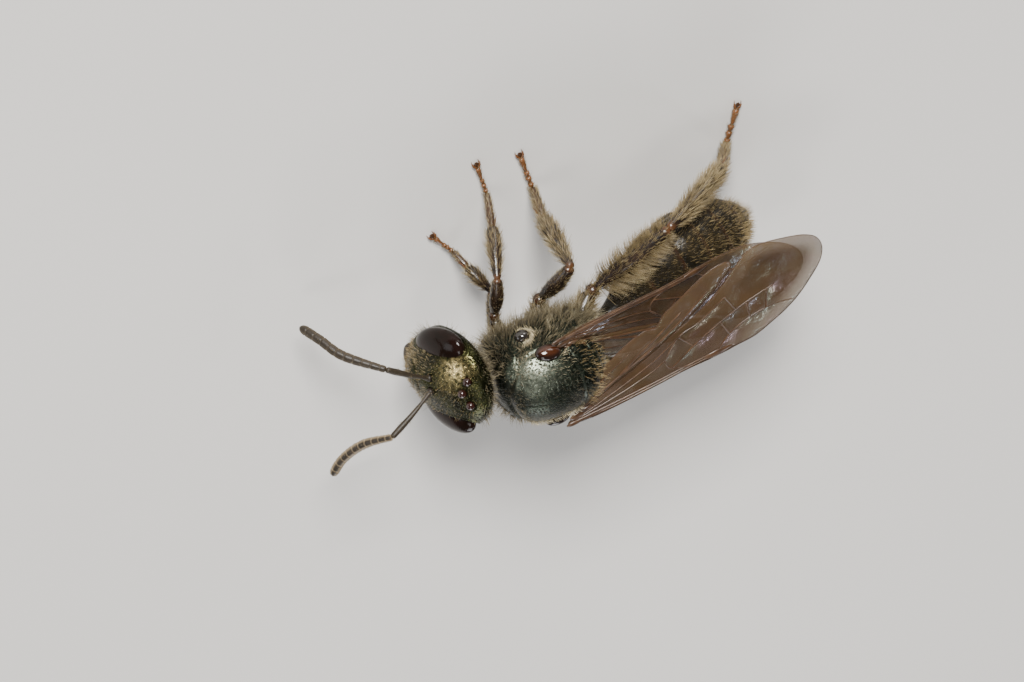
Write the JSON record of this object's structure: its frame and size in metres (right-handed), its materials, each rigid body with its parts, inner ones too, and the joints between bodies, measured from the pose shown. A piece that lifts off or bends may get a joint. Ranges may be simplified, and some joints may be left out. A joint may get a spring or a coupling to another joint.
{
  "type": "bee, still model",
  "caption": "Still, life-size model of a small metallic green furrow bee standing on its feet with its wings folded over its back.",
  "frame": {"origin": "on the floor, under the middle of the bee's bounding box", "axes": "the bee faces -X, its right side is +Y and its back is +Z"},
  "size_m": [0.01, 0.007, 0.0034],
  "materials": {
    "green_shell": "dark olive green shell with a metallic sheen, finely pitted",
    "dark_shell": "black-brown shell, satin, with short pale hair",
    "eye": "very dark brown, glossy",
    "amber_shell": "dark red-brown, glossy",
    "wing": "clear smoky brown sheet with brown veins",
    "horn": "blackish brown, satin",
    "leg": "dark brown under cream and golden hair"
  },
  "bodies": {
    "root": {"abdomen_1": "dark_shell", "abdomen_2": "dark_shell", "abdomen_3": "dark_shell", "abdomen_4": "dark_shell", "abdomen_5": "dark_shell", "abdomen_6": "dark_shell", "eye_left": "eye", "eye_right": "eye", "femur_fore_left": "leg", "femur_fore_right": "leg", "femur_hind_left": "leg", "femur_hind_right": "leg", "femur_mid_left": "leg", "femur_mid_right": "leg", "flagellum_left": "horn", "flagellum_right": "horn", "forewing_left": "wing", "forewing_right": "wing", "head": "green_shell", "hindwing_left": "wing", "hindwing_right": "wing", "mandible_left": "horn", "mandible_right": "horn", "mesopleura": "green_shell", "ocellus_left": "amber_shell", "ocellus_median": "amber_shell", "ocellus_right": "amber_shell", "pronotum": "green_shell", "propodeum": "green_shell", "scape_left": "horn", "scape_right": "horn", "scutellum": "green_shell", "scutum": "green_shell", "tarsus_fore_left": "leg", "tarsus_fore_right": "leg", "tarsus_hind_left": "leg", "tarsus_hind_right": "leg", "tarsus_mid_left": "leg", "tarsus_mid_right": "leg", "tegula_left": "amber_shell", "tegula_right": "amber_shell", "tibia_fore_left": "leg", "tibia_fore_right": "leg", "tibia_hind_left": "leg", "tibia_hind_right": "leg", "tibia_mid_left": "leg", "tibia_mid_right": "leg"}
  },
  "joints": []
}
